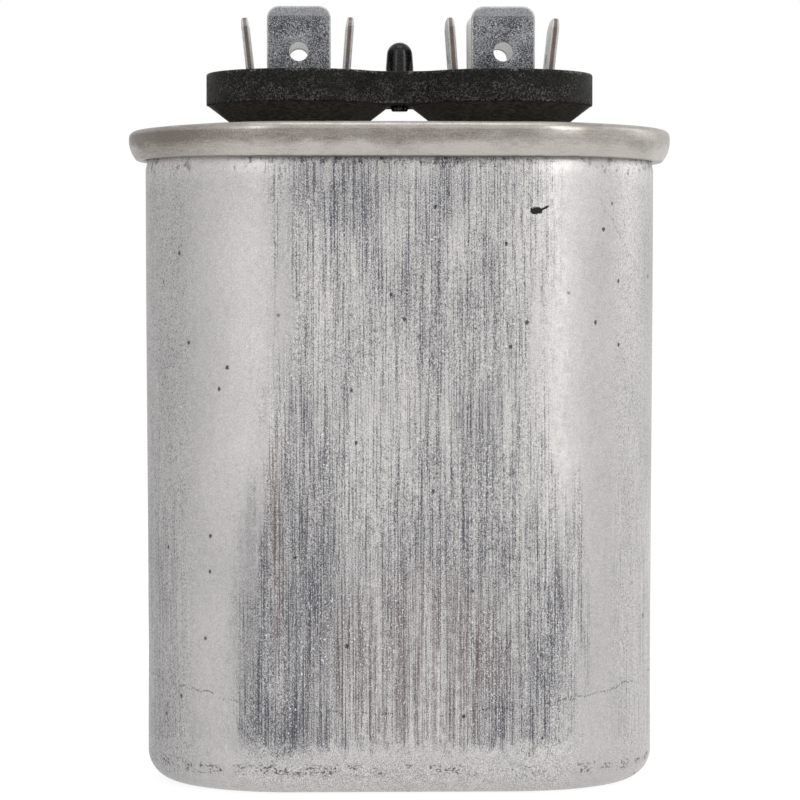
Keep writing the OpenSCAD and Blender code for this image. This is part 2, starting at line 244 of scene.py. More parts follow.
def fill_flat(bm, loops):
    """The flat face inside the first loop of points and outside the others."""
    edges = []
    for loop in loops:
        for k, corner in enumerate(loop):
            pair = (corner, loop[(k + 1) % len(loop)])
            edges.append(bm.edges.get(pair) or bm.edges.new(pair))
    bmesh.ops.triangle_fill(bm, edges=edges, use_beauty=True, normal=(0, 0, 1))


def turned(bm, centre, profile, steps=72):
    """Rings of a profile of (radius, height) turned about an upright axis. A radius of 0 closes it."""
    rings = [round_ring(bm, centre, radius, z, steps if radius > 0 else 1) for radius, z in profile]
    for first, second in zip(rings, rings[1:]):
        if len(first) == 1 or len(second) == 1:
            tip, ring = (first[0], second) if len(first) == 1 else (second[0], first)
            for k, corner in enumerate(ring):
                bm.faces.new((corner, ring[(k + 1) % len(ring)], tip))
        else:
            bridge(bm, first, second)
    return rings


def rounded(points, radius, steps=4):
    """A profile whose inner corners are rounded, where both neighbours leave room for it."""
    result = [Vector(points[0])]
    for before, corner, after in zip(points, points[1:], points[2:]):
        before, corner, after = Vector(before), Vector(corner), Vector(after)
        back, on = (before - corner), (after - corner)
        reach = min(radius, back.length * 0.45, on.length * 0.45)
        start, end = corner + back.normalized() * reach, corner + on.normalized() * reach
        for k in range(steps + 1):
            t = k / steps
            result.append(start * (1 - t) ** 2 + corner * 2 * t * (1 - t) + end * t**2)
    result.append(Vector(points[-1]))
    return result


def add_object(bm, name, material):
    """Makes an object from a mesh and puts it in the scene."""
    bmesh.ops.recalc_face_normals(bm, faces=bm.faces)
    mesh = bpy.data.meshes.new(name)
    bm.to_mesh(mesh)
    bm.free()
    mesh.materials.append(material)
    made = bpy.data.objects.new(name, mesh)
    bpy.context.scene.collection.objects.link(made)
    return made


def add_piece(bm, name, nodes, material, sharp=32):
    """Makes a piece in place of the frame's nodes that it stands for."""
    piece = add_object(bm, name, material)
    piece.data.shade_smooth()
    piece.data.set_sharp_from_angle(angle=math.radians(sharp))
    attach(piece, "root")
    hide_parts(*nodes)
    return piece


def ease(value, low, high):
    """0 below low and 1 above high, with a smooth rise between them."""
    t = min(1, max(0, (value - low) / (high - low)))
    return t * t * (3 - 2 * t)


# ---- Finishes ----


class Wire:
    """A socket that carries a value of one finish. Arithmetic on it adds Math nodes."""

    def __init__(self, finish, socket):
        self.finish = finish
        self.socket = socket

    def math(self, operation, *values):
        return self.finish.node("ShaderNodeMath", {"operation": operation}, dict(enumerate(values)))

    def __add__(self, other):
        return self.math("ADD", self, other)

    def __sub__(self, other):
        return self.math("SUBTRACT", self, other)

    def __rsub__(self, other):
        return self.math("SUBTRACT", other, self)

    def __mul__(self, other):
        return self.math("MULTIPLY", self, other)

    def __truediv__(self, other):
        return self.math("DIVIDE", self, other)

    def __abs__(self):
        return self.math("ABSOLUTE", self)

    def __lt__(self, other):
        return self.math("LESS_THAN", self, other)

    def wave(self):
        return self.math("SINE", self)

    def at_least(self, other):
        return self.math("MAXIMUM", self, other)

    def at_most(self, other):
        return self.math("MINIMUM", self, other)

    __radd__ = __add__
    __rmul__ = __mul__


class Finish:
    """A material and the nodes that make it. Places in it are in millimetres."""

    def __init__(self, name, **fixed):
        self.material = bpy.data.materials.new(name)
        self.material.use_nodes = True
        self.tree = self.material.node_tree
        self.shader = self.tree.nodes["Principled BSDF"]
        for socket, value in fixed.items():
            self.shader.inputs[socket.replace("_", " ")].default_value = value
        metres = self.node("ShaderNodeTexCoord", output="Object")
        self.place = self.node("ShaderNodeVectorMath", {"operation": "SCALE"}, {0: metres, "Scale": 1000.0})
        split = "ShaderNodeSeparateXYZ"
        self.x, self.y, self.z = (self.node(split, {}, {0: self.place}, k) for k in range(3))

    def node(self, kind, settings=None, sockets=None, output=0):
        """Adds a node: its settings first, then the value or wire of each socket. Gives one output."""
        made = self.tree.nodes.new(kind)
        for name, value in (settings or {}).items():
            setattr(made, name, value)
        for name, value in (sockets or {}).items():
            found = [s for s in made.inputs if s.enabled and s.name == name]
            socket = found[0] if found else made.inputs[name]
            if isinstance(value, Wire):
                self.tree.links.new(value.socket, socket)
            elif socket.type == "RGBA":
                socket.default_value = (*value[:3], 1)
            else:
                socket.default_value = value
        shown = [s for s in made.outputs if s.enabled]
        return Wire(self, shown[output] if isinstance(output, int) else made.outputs[output])

    def grid(self, grain, aside):
        """The place with this many steps to a millimetre along each axis, moved aside."""
        sockets = {0: self.place, 1: grain, 2: aside}
        return self.node("ShaderNodeVectorMath", {"operation": "MULTIPLY_ADD"}, sockets)

    def noise(self, grain, seed, detail, roughness):
        """Noise about 0.5, with this many grains to a millimetre along each axis."""
        spot = self.grid(grain, (17.3 * seed, 9.1 * seed, 4.7 * seed))
        sockets = {"Vector": spot, "Scale": 1.0, "Detail": detail, "Roughness": roughness}
        return self.node("ShaderNodeTexNoise", {}, sockets)

    def spots(self, grain, seed):
        """Distance to the nearest of scattered points, with this many cells to a millimetre."""
        spot = self.grid(grain, (5.9 * seed, 11.3 * seed, 2.9 * seed))
        return self.node("ShaderNodeTexVoronoi", {}, {"Vector": spot, "Scale": 1.0})

    def rise(self, value, low, high):
        """0 below low and 1 above high, with a smooth rise between them."""
        ends = {"Value": value, "From Min": low, "From Max": high}
        return self.node("ShaderNodeMapRange", {"interpolation_type": "SMOOTHSTEP"}, ends)

    def mark(self, name):
        """A value from 0 to 1 that the piece's mesh holds at its points."""
        return self.node("ShaderNodeAttribute", {"attribute_name": name}, output="Fac")

    def mix(self, amount, first, second):
        return self.node("ShaderNodeMix", {"data_type": "RGBA"}, {"Factor": amount, "A": first, "B": second})

    def put(self, socket, wire):
        self.tree.links.new(wire.socket, self.shader.inputs[socket])

    def bump(self, height, distance, strength):
        sockets = {"Height": height, "Distance": distance, "Strength": strength}
        self.put("Normal", self.node("ShaderNodeBump", {}, sockets))


class CanWall(Finish):
    """Bare drawn aluminium: the noises that its look is mixed from, and the zones of the wall."""

    def __init__(self):
        super().__init__("bare_drawn_aluminium", Metallic=0.9)
        self.front = self.y < 0
        self.hair = self.noise((8.5, 8.5, 0.11), 1, 2, 0.6)
        self.dash = self.noise((6.5, 6.5, 1.3), 2, 2, 0.6)
        self.band = self.noise((1.7, 1.7, 0.035), 3, 3, 0.6)
        self.broad = self.noise((0.42, 0.42, 0.06), 4, 3, 0.6)
        self.grain = self.noise((9.5, 9.5, 7.5), 6, 2, 0.8)
        self.mottle = self.noise((1.6, 1.6, 1.1), 7, 3, 0.65)
        self.crumb = self.noise((4.6, 4.6, 3.4), 8, 2, 0.7)
        self.ragged = (self.band - 0.5) * 2.2 + (self.mottle - 0.5) * 2.4 + (self.dash - 0.5) * 1.2
        self.low = 1 - self.rise(self.z + (self.broad - 0.5) * 30, 22, 36)
        foot = (self.mottle - 0.5) * 4 + (self.band - 0.5) * 3
        self.above_foot = self.rise(self.z + foot, 4.0, 5.8)
        from_middle = abs(self.x - 0.6) - self.low * 3.2
        self.core = 1 - self.rise(from_middle + (self.broad - 0.5) * 10, 11.2, 14.6)
        self.ends = self.rise(abs(self.x), 19.6, 22.4)
        self.drawn = (self.core + self.ends * 0.3 * (0.4 + self.low)).at_most(1) * self.above_foot

    def patch(self, x, z, wide, high):
        """1 inside an upright oval patch with a ragged border."""
        across, up = (self.x - x) / wide, (self.z - z) / high
        return 1 - self.rise(across * across + up * up + self.ragged, 0.3, 1.4)

    def between(self, low, high, soft):
        """1 on the front between two places along the can, with a soft border."""
        return self.rise(self.x, low, low + soft) * (1 - self.rise(self.x, high - soft, high)) * self.front


# Darker (+) and lighter (-) patches of the wall: x and z of the middle, half width, half height, how much.
WALL_PATCHES = (
    (-5.6, 59.8, 5, 4.5, 0.26),
    (4.6, 60, 2.2, 5, 0.15),
    (-12.5, 6, 4, 3.4, 0.16),
    (13.6, 19, 2.4, 10, 0.1),
    (-15.2, 18, 1.7, 13, 0.12),
    (12.5, 38, 3.4, 24, -0.12),
)


def wall_tone(f):
    """How dark the wall is: die lines and fine ribs on the flats, painted shade on the left end and under the
    seam.
    """
    lines = f.rise(f.hair, 0.46, 0.66) * 0.5 + (f.band - 0.5) * 0.7
    lines = lines + (f.broad - 0.5) * 0.8 + (f.dash - 0.5) * 0.6 - 0.02
    ribs = ((f.x + (f.dash - 0.5) * 0.16 + (f.band - 0.5) * 0.5) * 18.4).wave()
    crumbs = f.rise(f.crumb, 0.57, 0.66) * 0.32 - 0.03
    drift = f.noise((0.12, 0.12, 0.07), 5, 2, 0.5)
    # Painted shade: the left end is darkened, for the weaker light on that side.
    left_end = 1 - f.rise(f.x, -25.4, -18)
    # Painted shade: darker patches just under the seam's overhang, broken up by noise.
    seam_shade = f.rise(f.z + (f.mottle - 0.5) * 5, 60.9, 62.2) * f.rise(f.broad * 0.5 + f.mottle * 0.5, 0.5, 0.6)

    tone = 0.3 + f.drawn * lines + ribs * 0.08 * f.low * f.core * f.above_foot
    tone = tone + (f.grain - 0.5) * (1.0 + 0.9 * f.ends + 1.8 * f.core)
    tone = tone + (f.mottle - 0.5) * (0.25 + 0.4 * f.core) + f.above_foot * (drift - 0.5) * 0.35
    tone = tone + (f.ends + f.core * 0.4) * crumbs + left_end * (0.19 + 0.09 * f.low)
    # Its last term is painted light: the wall is made lighter just below the seam, against the seam's shade
    # there.
    tone = tone + f.above_foot * f.core * (0.05 + 0.13 * f.low) - f.rise(f.z, 59, 61.8) * 0.12
    tone = tone + f.above_foot * f.patch(-11, 18, 5.5, 16) * 0.14 + seam_shade * 0.45
    for x, z, wide, high, amount in WALL_PATCHES:
        tone = tone + f.patch(x, z, wide, high) * amount
    return tone


def wall_scratches(f):
    """The crease round the foot, a slanting scrape high on the right and a short bright scratch."""
    sag = f.z - 8.0 - f.x * f.x * 0.0046 - (f.broad - 0.5) * 2.2
    crease = 1 - f.rise(abs(sag) + (f.grain - 0.5) * 0.1, 0.04, 0.13)
    crease = crease * f.rise(f.dash * 0.6 + f.broad * 0.4, 0.48, 0.56)
    slope = (f.z - 58.9 + (f.x - 18.9) * 1.69) * 0.51 + (f.mottle - 0.5) * 1.2
    scrape = (1 - f.rise(abs(slope), 0.02, 0.12)) * f.between(18.6, 24.4, 0.8) * f.rise(f.dash, 0.46, 0.56)
    tick = f.z - 33.6 + (f.x - 14) * 0.27 + (f.mottle - 0.5) * 0.5
    scratch = (1 - f.rise(abs(tick), 0.02, 0.08)) * f.between(12, 16.3, 0.4) * f.rise(f.dash, 0.42, 0.54)
    return crease, scrape, scratch


def wall_pits(f):
    """Dark pits: specks sown over the wall, pitting along the foot, and one chip with a tail."""
    sown = f.spots((0.33, 0.33, 0.27), 1) + (f.crumb - 0.5) * 0.09
    speck = 1 - f.rise(sown, 0.04, 0.08)
    along_foot = 1 - f.rise(abs(f.z - 2.5 + (f.broad - 0.5) * 1.2), 0.2, 0.8)
    clump = f.rise(f.noise((0.55, 0.55, 0.8), 9, 2, 0.6), 0.46, 0.56)
    foot_pit = along_foot * clump * f.rise(f.noise((3.0, 3.0, 4.6), 10, 2, 0.6), 0.5, 0.57)
    chip_x, chip_z = (f.x - 12.85) / 0.62, (f.z - 57.0) / 0.38
    tail_x, tail_z = (f.x - 13.6) / 0.5, (f.z - 57.2 - (f.x - 13.6) * 0.5) / 0.14
    nearest = (chip_x * chip_x + chip_z * chip_z).at_most(tail_x * tail_x + tail_z * tail_z)
    chip = (1 - f.rise(nearest + (f.crumb - 0.5) * 2.2, 0.8, 1.1)) * f.front
    return (speck * 0.85).at_least(foot_pit * 0.75).at_least(chip)


def can_finish(s):
    """Drawn aluminium with tarnish on its flats, painted glints, pits and scratches."""
    f = CanWall()
    tone = wall_tone(f)
    shade = f.mix(tone.at_least(0).at_most(1), s.bright, s.streak_and_shade)

    brown = f.patch(1.5, 13.5, 9.5, 10) * f.rise(f.hair * 0.35 + f.band * 0.35 + f.mottle * 0.3, 0.44, 0.6)
    russet = f.patch(-12.6, 25, 0.9, 11) * f.rise(f.hair * 0.6 + f.mottle * 0.4, 0.42, 0.6)
    shade = f.mix(brown.at_least(russet) * f.above_foot * 0.55, shade, s.rust)

    # Painted highlights: near-white specks in the base colour stand for the metal's glints, thickest in
    # patches on the flats.
    glint_zone = f.rise(f.broad * 0.5 + f.mottle * 0.5, 0.47, 0.6) * f.core
    spark = f.noise((7, 7, 4.5), 11, 2, 0.75)
    painted_glint = f.rise(spark, 0.57, 0.66) * (0.22 * f.core + 0.78 * glint_zone + 0.1)
    shade = f.mix(painted_glint * 0.7, shade, (0.94, 0.94, 0.945))

    crease, scrape, scratch = wall_scratches(f)
    shade = f.mix(scratch * 0.45, shade, (0.85, 0.85, 0.85))
    pits = wall_pits(f).at_least(crease * 0.6).at_least(scrape * 0.45)
    shade = f.mix(pits, shade, (0.022, 0.021, 0.02))

    f.put("Base Color", shade)
    f.put("Roughness", 0.34 + 0.12 * tone + 0.12 * f.grain)
    relief = f.grain * 0.5 + spark * 0.3 * f.core + f.hair * 0.25 * f.drawn + f.dash * 0.2
    f.bump(relief - pits - scratch * 0.4, mm(0.026), 0.6)
    return f.material


def lid_finish(s):
    """Satin tin plate: bright over the shoulder, painted shade just under it, with fine marks along the seam.
    """
    f = Finish("satin_tin_plate", Metallic=0.92)
    cloud = f.noise((0.28, 0.28, 0.5), 1, 3, 0.6)
    rolled = f.noise((0.9, 0.9, 8), 2, 3, 0.6)
    grain = f.noise((9, 9, 8), 3, 2, 0.8)
    outside = f.rise(abs(f.y) + f.rise(abs(f.x), 10.8, 12) * 99, 14, 15)
    # Painted reflection: the lower part of the seam's face is made lighter, standing for the bright floor
    # that it faces.
    lightened = (1 - f.rise(f.z + (cloud - 0.5) * 1.6, 62.9, 64.0)) * outside
    # Painted shade: a darker band on the seam's face just under the shoulder, weaker on the right side.
    painted_shade_band = f.rise(f.z + (cloud - 0.5) * 0.8, 63.2, 64.2) * (1 - f.rise(f.z, 64.75, 65.0)) * outside
    left_end = (1 - f.rise(f.x + (cloud - 0.5) * 14, -24, -15)) * outside
    right_side = f.rise(f.x + (cloud - 0.5) * 14, 10, 15) * outside
    tone = 0.36 + (cloud - 0.5) * 0.9 + (rolled - 0.5) * 0.7 + (grain - 0.5) * 1.4
    tone = tone + painted_shade_band * (0.36 - 0.34 * right_side) - lightened * 0.3 + left_end * (0.35 + 0.25 * lightened)
    shade = f.mix(tone.at_least(0).at_most(1), s.tin, s.dull_and_shade)
    # Painted shade: a dark line along the foot of the seam, where it meets the can.
    seam_shade = (1 - f.rise(f.z + (rolled - 0.5) * 0.3, 62.2, 62.42)) * outside
    speck = f.rise(grain * 0.4 + rolled * 0.6, 0.6, 0.7)
    shade = f.mix((seam_shade * 0.75).at_least(speck * (0.15 + 0.45 * left_end)), shade, (0.07, 0.063, 0.057))
    f.put("Base Color", shade)
    f.put("Roughness", 0.24 + 0.14 * tone + 0.1 * grain)
    f.bump(rolled * 0.5 + grain * 0.4, mm(0.014), 0.5)
    return f.material


def block_finish(s):
    """Black moulded plastic: pale dust in its grain, brownish drag marks on the cones with painted light,
    worn edges.
    """
    f = Finish("black_moulding", Metallic=0.0, Specular_IOR_Level=0.1)
    cloud = f.noise((0.4, 0.4, 0.7), 1, 3, 0.6)
    grain = f.noise((9, 9, 9), 2, 2, 0.8)
    curl = f.noise((4.2, 4.2, 4.2), 4, 2, 0.7)
    drag = f.noise((1.8, 1.8, 7.5), 3, 3, 0.7)
    on_cone = 1 - f.rise(f.z, 67.85, 68.05)
    on_band = (1 - on_cone) * (1 - f.rise(f.z, 70.9, 71.15))
    dusty = (0.2 + f.rise(cloud - (f.z - 69.4) * 0.07, 0.4, 0.6)).at_most(1) * on_band
    dust = f.rise(grain * 0.65 + curl * 0.35, 0.47, 0.64) * (0.16 + 0.84 * dusty)
    # The cones' brownish drag marks, partly real and partly painted light: made lighter for the light bounced
    # up from the floor.
    cone_film_and_light = on_cone * (0.2 + 0.55 * f.rise(drag * 0.8 + grain * 0.2, 0.4, 0.64))
    pale_mark = f.mark("edge") * f.rise(cloud * 0.5 + curl * 0.5, 0.5, 0.62)
    shade = f.mix(dust.at_most(1), s.black, s.dust)
    shade = f.mix(cone_film_and_light, shade, s.film_and_painted_light)
    shade = f.mix(pale_mark * 0.55, shade, (0.27, 0.26, 0.24))
    f.put("Base Color", shade)
    f.put("Roughness", 0.42 + 0.2 * dusty + 0.15 * grain)
    f.bump(grain * 0.6 + curl * 0.3, mm(0.035), 0.6)
    return f.material


def post_finish():
    """The glossy black of the moulded post, with a painted highlight round its shank's end."""
    f = Finish("glossy_black_post", Specular_IOR_Level=0.24)
    cloud = f.noise((1.8, 1.8, 1.2), 1, 2, 0.6)
    grain = f.noise((9, 9, 8), 2, 2, 0.8)
    # Painted highlight: a pale ring round the shank's end, just below the web.
    pale_mark = (1 - f.rise(abs(f.z - 67.68 - (cloud - 0.5) * 0.2), 0.06, 0.16)) * f.rise(cloud, 0.42, 0.55)
    shade = f.mix(f.rise(grain, 0.53, 0.68) * 0.7, (0.001, 0.001, 0.001), (0.09, 0.085, 0.08))
    f.put("Base Color", f.mix(pale_mark * 0.8, shade, (0.5, 0.5, 0.48)))
    f.put("Roughness", 0.12 + 0.12 * cloud)
    f.bump(grain * 0.5 + cloud * 0.8, mm(0.02), 0.5)
    return f.material


TAB_MARKS = ("edge", "sheared", "coined", "inner")


def tab_finish(s):
    """Speckled zinc on the tabs' faces, with pale edges, brown sheared sides and lighter coined tips."""
    f = Finish("weathered_tab_plate")
    cloud = f.noise((0.55, 0.55, 0.4), 1, 3, 0.6)
    grain = f.noise((9.5, 9.5, 9.5), 2, 2, 0.85)
    hue = f.noise((2.4, 2.4, 2.4), 3, 2, 0.6)
    edge, sheared, coined, inner = (f.mark(name) for name in TAB_MARKS)
    speckle = f.rise(grain + (cloud - 0.5) * 0.2, 0.42, 0.66)
    shade = f.mix(speckle, s.dark, s.plate)
    shade = f.mix(f.rise(hue, 0.5, 0.68) * 0.3, shade, s.tint)
    shade = f.mix(f.rise(1 - hue, 0.5, 0.68) * 0.16, shade, s.stain)
    shade = f.mix(coined * (0.4 + 0.6 * (grain - 0.3)), shade, s.coin)
    shade = f.mix((inner * (0.8 + (grain - 0.5) * 1.2)).at_least(0).at_most(1), shade, s.clean)
    shade = f.mix((edge * (0.6 + (grain - 0.5) * 2)).at_least(0).at_most(1), shade, s.bare)
    shade = f.mix(sheared * f.rise(grain * 0.5 + cloud * 0.5, 0.4, 0.52), shade, s.stain)
    f.put("Base Color", shade)
    f.put("Metallic", 0.88 - 0.5 * edge)
    f.put("Roughness", 0.28 + 0.25 * grain + 0.15 * edge)
    f.bump(grain * 1.2 + hue * 0.3, mm(0.03), 0.7)
    return f.material


def rivet_finish():
    """Plated steel rivets with turned heads."""
    f = Finish("plated_rivet", Metallic=0.95)
    cloud = f.noise((1.1, 1.1, 1.1), 1, 3, 0.6)
    grain = f.noise((7, 7, 7), 2, 2, 0.7)
    f.put("Base Color", f.mix(f.rise(cloud + grain * 0.3, 0.5, 0.8), (0.46, 0.45, 0.43), (0.2, 0.185, 0.165)))
    f.put("Roughness", 0.28 + 0.2 * cloud)
    f.bump(grain, mm(0.012), 0.5)
    return f.material


def plain_finish(name, light, dark, grain, metallic, rough, relief):
    """A quieter finish for the pieces inside: two close tones mixed by grain and cloud."""
    f = Finish(name, Metallic=metallic)
    fine = f.noise(grain, 1, 3, 0.65)
    cloud = f.noise([g * 0.15 for g in grain], 2, 2, 0.5)
    f.put("Base Color", f.mix(f.rise(fine * 0.55 + cloud * 0.45, 0.36, 0.64), light, dark))
    f.put("Roughness", rough + 0.18 * fine)
    f.bump(fine, mm(relief), 0.6)
    return f.material


# ---- Pieces ----


def can_shift(s):
    """How far the wall stands in from its full size: a wave and dents, less the flare below the seam."""

    def shift(point):
        wall = ease(point.z, mm(3), mm(9)) * (1 - ease(point.z, mm(58), mm(61)))
        flare = s.flare * ease(point.z, mm(12), mm(60))
        wave = noise.noise(point * 60 + Vector((3.1, 0, 7.7))) * 0.5 + 0.5
        spot = Vector((point.x * 130 + 9, point.y * 130 + 4, point.z * 95 + 2))
        dent = ease(noise.noise(spot), 0.25, 0.7)
        return wall * s.dent * (0.35 * wave + 0.65 * dent) - flare

    return shift


def build_can(s):
    bm = bmesh.new()
    stations = oval_stations(96, 44)
    inner = s.wall_radius - s.wall
    foot = s.wall_radius - s.corner
    hook_gap, hook_height, hook_tip = mm(0.26), mm(64.34), mm(62.94)
    hook = Vector((s.wall_radius + hook_gap, hook_height))
    bend = s.wall / 2 + hook_gap
    middle = joined(
        [Vector((foot - mm(0.4), s.wall / 2))],
        arc((foot, s.corner), s.corner - s.wall / 2, -90, 0, 12),
        line((inner + s.wall / 2, s.corner), (inner + s.wall / 2, hook.y), 64),
        arc(hook, bend, 180, 0, 8),
        line((hook.x + bend, hook.y), (hook.x + bend, hook_tip), 2),
    )
    inside, outside = sheet_faces(middle, s.wall)
    shift = can_shift(s)
    out_rings = [oval_ring(bm, stations, p.x, p.y, shift if p.y < mm(62) else None) for p in outside]
    in_rings = [oval_ring(bm, stations, p.x, p.y) for p in inside]
    rings = out_rings + in_rings[::-1]
    bridge_all(bm, rings)
    bm.faces.new(rings[0])
    bm.faces.new(rings[-1])
    return add_piece(bm, "can_shell", ["can"], can_finish(s))


def build_lid(s):
    bm = bmesh.new()
    stations = oval_stations(96, 44)
    half = s.sheet / 2
    panel = seam_top - s.recess - half
    wall = s.chuck_radius + half
    bulge, corner, shoulder, bend = mm(3.8), mm(0.42), mm(0.85), mm(0.7)
    straight = mm(1.1)
    face = Vector((seam_radius - bulge, seam_top - straight))
    fall = math.asin((s.seam_height - corner - straight) / (bulge - corner))
    curl = face + Vector((math.cos(fall), -math.sin(fall))) * (bulge - corner)
    tuck = s.can_radius + corner + mm(0.22)
    middle = joined(
        [Vector((wall - mm(1.3), panel)), Vector((wall - mm(1.0), panel))],
        arc((wall - bend, panel + bend), bend, -90, 0, 8),
        line((wall, panel + bend), (wall, seam_top - half - bend), 4),
        arc((wall + bend, seam_top - half - bend), bend, 180, 90, 8),
        arc((seam_radius - shoulder, seam_top - shoulder), shoulder - half, 90, 0, 12),
        arc(face, bulge - half, 0, -math.degrees(fall), 12),
        arc(curl, corner - half, -math.degrees(fall), -90, 6),
        arc((tuck, curl.y), corner - half, -90, -180, 6),
        line((tuck - corner + half, curl.y), (tuck - corner + half, seam_top - mm(1.3)), 3),
    )
    upper, lower = sheet_faces(middle, s.sheet)

    def shift(point):
        seam = ease(point.z, mm(61.9), mm(62.4)) * (1 - ease(point.z, mm(64.8), mm(65.5)))
        return mm(0.07) * seam * (0.5 + 0.5 * noise.noise(point * 110))

    def slacken(ring):
        """The seam is a little shorter round the ends, more so on the left."""
        for vert in ring:
            slack = mm(0.24 if vert.co.x < 0 else 0.1) * ease(abs(vert.co.x), flat_half, seam_box.x)
            vert.co.z += slack * (1 - 2 * (vert.co.z - seam_top + s.seam_height) / s.seam_height)

    outer = seam_radius - mm(1.2)
    upper_rings = [oval_ring(bm, stations, p.x, p.y, shift if p.x > outer else None) for p in upper]
    lower_rings = [oval_ring(bm, stations, p.x, p.y) for p in lower]
    for ring in upper_rings[20:] + lower_rings[20:]:
        slacken(ring)
    bridge_all(bm, upper_rings + lower_rings[::-1])
    holes = []
    for ring, height in ((upper_rings[0], panel + half), (lower_rings[0], panel - half)):
        holes.append([round_ring(bm, (side * terminal_x, 0), s.hole_radius, height, 48) for side in (1, -1)])
        fill_flat(bm, [ring, *holes[-1]])
    for first, second in zip(*holes):
        bridge(bm, first, second)
    return add_piece(bm, "seamed_lid", ["lid"], lid_finish(s))


def block_outline(s, inset):
    """The outline of both cups and the web, moved inward, with the web's corners filleted."""
    cup = block_box[1].y - inset
    bend = s.fillet + inset
    rise = s.web_depth / 2 - inset + bend
    run = math.sqrt((cup + bend) ** 2 - rise**2)
    turn = math.degrees(math.atan2(rise, -run))
    corner = terminal_x - run
    half = joined(
        arc((terminal_x, 0), cup, -turn, turn, 100),
        arc((corner, rise), bend, turn - 180, -90, 8),
        line((corner, rise - bend), (-corner, rise - bend), 8),
        arc((-corner, rise), bend, -90, -turn, 8),
    )
    return half[:-1] + [-p for p in half[:-1]]


def outline_ring(bm, points, height, worn, value):
    ring = [bm.verts.new((p.x, p.y, height)) for p in points]
    for vert in ring:
        vert[worn] = value
    return ring


def build_block(s):
    bm = bmesh.new()
    worn = bm.verts.layers.float.new("edge")
    low, high = block_box
    foot = high.z - s.band_height
    under = s.ledge * 0.6
    steps = [(under + mm(0.02), foot, 0.6)]
    for turn in (math.radians(30 * k) for k in range(4)):
        steps.append((under * (1 - math.sin(turn)), foot + under * (1 - math.cos(turn)), 1))
    steps += [(0, foot + mm(0.2), 0), (0, high.z - s.edge - mm(0.1), 0)]
    for turn in (math.radians(22.5 * k) for k in range(5)):
        steps.append((s.edge * (1 - math.cos(turn)), high.z - s.edge * (1 - math.sin(turn)), 1))
    steps.append((s.edge + mm(0.08), high.z, 0))
    rings = [outline_ring(bm, block_outline(s, inset), z, worn, value) for inset, z, value in steps]
    bridge_all(bm, rings)

    mouths, cones = [], []
    inner = high.y - s.cup_wall
    floor = high.z - s.cup_depth
    bore = mm(1.6)
    for side in (1, -1):
        centre = (side * terminal_x, 0)
        mouth = arc((inner + s.edge, high.z - s.edge), s.edge, 90, 180, 4)
        base = arc((inner - mm(0.4), floor + mm(0.4)), mm(0.4), 0, -90, 5)
        neck = [
            (inner - mm(1), floor), (bore, floor), (bore, low.z), (s.neck_radius, low.z),
            (s.neck_radius, s.cone_foot), (high.y - s.ledge, foot),
        ]
        profile = joined([Vector((inner + s.edge + mm(0.08), high.z))], mouth, base, rounded(neck, mm(0.15)))
        made = turned(bm, centre, profile, 96)
        for ring in made[1:6]:
            for vert in ring:
                vert[worn] = 1
        mouths.append(made[0])
        cones.append(made[-1])
    sockets = [round_ring(bm, (0, 0), mm(0.9), height, 32) for height in (high.z, foot)]
    bridge_all(bm, sockets)
    fill_flat(bm, [rings[-1], *mouths, sockets[0]])
    fill_flat(bm, [rings[0], *cones, sockets[1]])
    return add_piece(bm, "terminal_moulding", ["terminal_block"], block_finish(s))


def build_post():
    """A blunt post with a thin foot flange, and the rounded end of its shank under the web."""
    bm = bmesh.new()
    low, high = post_box
    foot = block_box[1].z
    radius = high.x
    wide = radius / mm(1)
    tip = radius - mm(0.12)
    shank = mm(0.86)
    profile = joined(
        [Vector((0, low.z)), Vector((shank * 0.45, low.z + mm(0.015)))],
        arc((shank - mm(0.22), low.z + mm(0.22)), mm(0.22), -80, 0, 5),
        line((shank, low.z + mm(0.3)), (shank, foot - mm(0.2)), 2),
        above(foot, (wide - 0.05, -0.01), (wide, 0.06), (wide, 0.2), (wide - 0.03, 0.28)),
        line((radius - mm(0.015), foot + mm(0.6)), (tip + mm(0.005), high.z - tip), 3),
        arc((0, high.z - tip), tip, 0, 84, 16),
        [Vector((0, high.z))],
    )
    turned(bm, (0, 0), profile, 64)
    return add_piece(bm, "locating_post", ["centre_post"], post_finish())


def strip_outline(s, length, inset):
    """Outline of a flat strip with rounded corners, lying along X, moved inward."""
    half, corner = s.width / 2 - inset, s.corner - inset
    end = length - inset
    middle = end - corner
    return [
        point
        for sign, start in ((1, 0), (-1, 180))
        for point in arc((sign * middle, sign * (half - corner)), corner, start, start + 90, 8)
        + arc((-sign * middle, sign * (half - corner)), corner, start + 90, start + 180, 8)
    ]


def bend_strip(s, point, leans):
    """Folds a point of the flat strip up at the end that it lies on."""
    side = 1 if point.x >= 0 else -1
    lean = leans[0] if side > 0 else leans[1]
    radius = s.bend + s.sheet / 2
    past = abs(point.x) - s.flat_half
    if past <= 0:
        return Vector((point.x, point.y, point.z + s.sheet / 2))
    most = math.pi / 2 - lean
    turn = min(past / radius, most)
    left_over = past - turn * radius
    away = radius - point.z
    x = s.flat_half + away * math.sin(turn) + left_over * math.cos(turn)
    z = s.bend + s.sheet - away * math.cos(turn) + left_over * math.sin(turn)
    return Vector((side * x, point.y, z))


